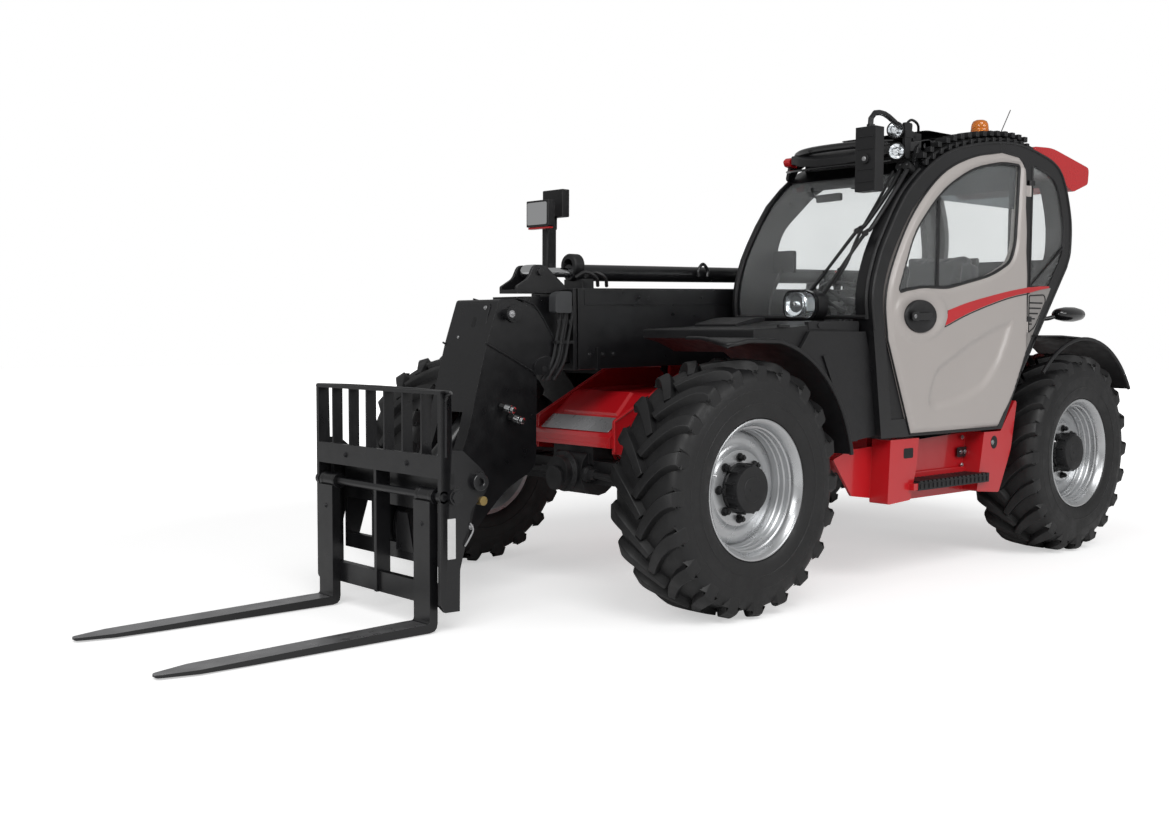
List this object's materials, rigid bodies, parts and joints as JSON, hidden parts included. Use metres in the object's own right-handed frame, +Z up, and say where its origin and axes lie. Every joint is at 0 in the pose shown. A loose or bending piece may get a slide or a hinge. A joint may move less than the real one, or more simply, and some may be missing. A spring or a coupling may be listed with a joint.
{
  "type": "telehandler",
  "caption": "Rigid-frame telehandler with a side cab, a telescopic boom, a pallet-fork carriage and steered wheels on the front and rear axles.",
  "frame": {"origin": "on the ground, under the middle of the machine's box", "axes": "+X forward towards the forks, +Y to the machine's left where the cab is, +Z up"},
  "size_m": [6.279, 2.395, 2.51],
  "materials": {
    "red_paint": "gloss",
    "black_paint": "satin",
    "grey_paint": "gloss",
    "silver_paint": "satin",
    "black_plastic": "matt",
    "red_plastic": "gloss",
    "amber_plastic": "gloss",
    "tyre_rubber": "matt",
    "cast_iron": "rough",
    "chrome": "mirror",
    "bare_steel": "satin",
    "seat_fabric": "woven",
    "clear_glass": "polished"
  },
  "bodies": {
    "chassis": {"beacon": "amber_plastic", "cab_frame": "black_paint", "cab_roof": "black_plastic", "chassis_frame": "red_paint", "counterweight": "cast_iron", "cowl_left": "black_plastic", "cowl_right": "black_plastic", "dashboard": "black_plastic", "engine": "cast_iron", "exhaust_stack": "black_paint", "front_axle": "cast_iron", "front_fender_left": "black_plastic", "front_fender_right": "black_plastic", "mirror_left": "black_plastic", "mirror_right": "black_plastic", "quarter_window": "clear_glass", "rear_axle": "cast_iron", "rear_fender_left": "black_plastic", "rear_fender_right": "black_plastic", "rear_visor": "red_plastic", "rear_window": "clear_glass", "right_window": "clear_glass", "seat": "seat_fabric", "step_frame": "red_paint", "windscreen": "clear_glass"},
    "knuckle_front_left": {"knuckle_front_left": "cast_iron"},
    "wheel_front_left": {"rim_front_left": "silver_paint", "tyre_front_left": "tyre_rubber"},
    "knuckle_front_right": {"knuckle_front_right": "cast_iron"},
    "wheel_front_right": {"rim_front_right": "silver_paint", "tyre_front_right": "tyre_rubber"},
    "knuckle_rear_left": {"knuckle_rear_left": "cast_iron"},
    "wheel_rear_left": {"rim_rear_left": "silver_paint", "tyre_rear_left": "tyre_rubber"},
    "knuckle_rear_right": {"knuckle_rear_right": "cast_iron"},
    "wheel_rear_right": {"rim_rear_right": "silver_paint", "tyre_rear_right": "tyre_rubber"},
    "door": {"cab_door": "grey_paint", "door_window": "clear_glass"},
    "hood": {"engine_hood": "black_plastic"},
    "steering_wheel": {"steering_wheel": "black_plastic"},
    "boom_base": {"boom": "black_paint", "telescope_cylinder_barrel": "black_paint"},
    "boom_middle": {"boom_section_middle": "black_paint", "telescope_cylinder_rod": "chrome"},
    "boom_inner": {"boom_head": "black_paint"},
    "lift_barrel": {"lift_cylinder_barrel": "black_paint"},
    "lift_rod": {"lift_cylinder_rod": "chrome"},
    "tilt_barrel": {"tilt_cylinder_barrel": "black_paint"},
    "tilt_rod": {"tilt_cylinder_rod": "chrome"},
    "carriage": {"tool_carrier": "black_paint", "fork_carriage": "black_paint"},
    "fork_left": {"fork_left": "bare_steel"},
    "fork_right": {"fork_right": "bare_steel"}
  },
  "joints": [
    {"name": "steer_front_left", "type": "hinge", "parent": "chassis", "child": "knuckle_front_left", "pos_m": [0.6605, 0.84, 0.588], "axis": [0, 0, 1], "range_deg": [-32, 32]},
    {"name": "roll_front_left", "type": "hinge", "parent": "knuckle_front_left", "child": "wheel_front_left", "pos_m": [0.6605, 0.995, 0.588], "axis": [0, 1, 0], "continuous": true},
    {"name": "steer_front_right", "type": "hinge", "parent": "chassis", "child": "knuckle_front_right", "pos_m": [0.6605, -0.84, 0.588], "axis": [0, 0, 1], "range_deg": [-32, 32]},
    {"name": "roll_front_right", "type": "hinge", "parent": "knuckle_front_right", "child": "wheel_front_right", "pos_m": [0.6605, -0.995, 0.588], "axis": [0, 1, 0], "continuous": true},
    {"name": "steer_rear_left", "type": "hinge", "parent": "chassis", "child": "knuckle_rear_left", "pos_m": [-2.2395, 0.84, 0.588], "axis": [0, 0, 1], "range_deg": [-32, 32]},
    {"name": "roll_rear_left", "type": "hinge", "parent": "knuckle_rear_left", "child": "wheel_rear_left", "pos_m": [-2.2395, 0.995, 0.588], "axis": [0, 1, 0], "continuous": true},
    {"name": "steer_rear_right", "type": "hinge", "parent": "chassis", "child": "knuckle_rear_right", "pos_m": [-2.2395, -0.84, 0.588], "axis": [0, 0, 1], "range_deg": [-32, 32]},
    {"name": "roll_rear_right", "type": "hinge", "parent": "knuckle_rear_right", "child": "wheel_rear_right", "pos_m": [-2.2395, -0.995, 0.588], "axis": [0, 1, 0], "continuous": true},
    {"name": "door_swing", "type": "hinge", "parent": "chassis", "child": "door", "pos_m": [-1.6835, 1.129, 1.5], "axis": [0, 0, 1], "range_deg": [0, 80]},
    {"name": "hood_lift", "type": "hinge", "parent": "chassis", "child": "hood", "pos_m": [-0.897, -0.3175, 1.282], "axis": [-1, 0, 0], "range_deg": [0, 70]},
    {"name": "steering_wheel_turn", "type": "hinge", "parent": "chassis", "child": "steering_wheel", "pos_m": [-0.7095, 0.66, 1.47], "axis": [-0.4695, 0, 0.8829], "continuous": true},
    {"name": "boom_lift", "type": "hinge", "parent": "chassis", "child": "boom_base", "pos_m": [-2.3895, 0, 1.4], "axis": [0, -1, 0], "range_deg": [0, 62]},
    {"name": "boom_extend", "type": "slide", "parent": "boom_base", "child": "boom_middle", "axis": [0.9998, 0, -0.0211], "range_m": [0, 2.1]},
    {"name": "boom_extend_inner", "type": "slide", "parent": "boom_middle", "child": "boom_inner", "axis": [0.9998, 0, -0.0211], "range_m": [0, 2.1]},
    {"name": "lift_barrel_turn", "type": "hinge", "parent": "chassis", "child": "lift_barrel", "pos_m": [-1.9895, 0, 0.76], "axis": [0, -1, 0], "range_deg": [0, 58.5]},
    {"name": "lift_rod_slide", "type": "slide", "parent": "lift_barrel", "child": "lift_rod", "axis": [0.9701, 0, 0.2425], "range_m": [0, 0.78]},
    {"name": "carriage_tilt", "type": "hinge", "parent": "boom_inner", "child": "carriage", "pos_m": [1.6455, 0, 0.35], "axis": [0, 1, 0], "range_deg": [-12, 110]},
    {"name": "tilt_barrel_turn", "type": "hinge", "parent": "boom_inner", "child": "tilt_barrel", "pos_m": [1.2205, 0, 1.04], "axis": [0, 1, 0], "range_deg": [-1, 7]},
    {"name": "tilt_rod_slide", "type": "slide", "parent": "tilt_barrel", "child": "tilt_rod", "axis": [0.7107, 0, -0.7035], "range_m": [-0.04, 0.35]},
    {"name": "fork_left_slide", "type": "slide", "parent": "carriage", "child": "fork_left", "axis": [0, 1, 0], "range_m": [-0.25, 0.025]},
    {"name": "fork_right_slide", "type": "slide", "parent": "carriage", "child": "fork_right", "axis": [0, 1, 0], "range_m": [-0.025, 0.25]}
  ],
  "couplings": [
    {"joint": "steer_front_right", "follows": "steer_front_left", "ratio": 1},
    {"joint": "steer_rear_right", "follows": "steer_rear_left", "ratio": 1},
    {"joint": "boom_extend_inner", "follows": "boom_extend", "ratio": 1},
    {"joint": "lift_barrel_turn", "follows": "boom_lift", "ratio": 0.9427},
    {"joint": "lift_rod_slide", "follows": "boom_lift", "m_per_rad": 0.7198},
    {"joint": "tilt_barrel_turn", "follows": "carriage_tilt", "ratio": 0.0588},
    {"joint": "tilt_rod_slide", "follows": "carriage_tilt", "m_per_rad": 0.1812}
  ]
}
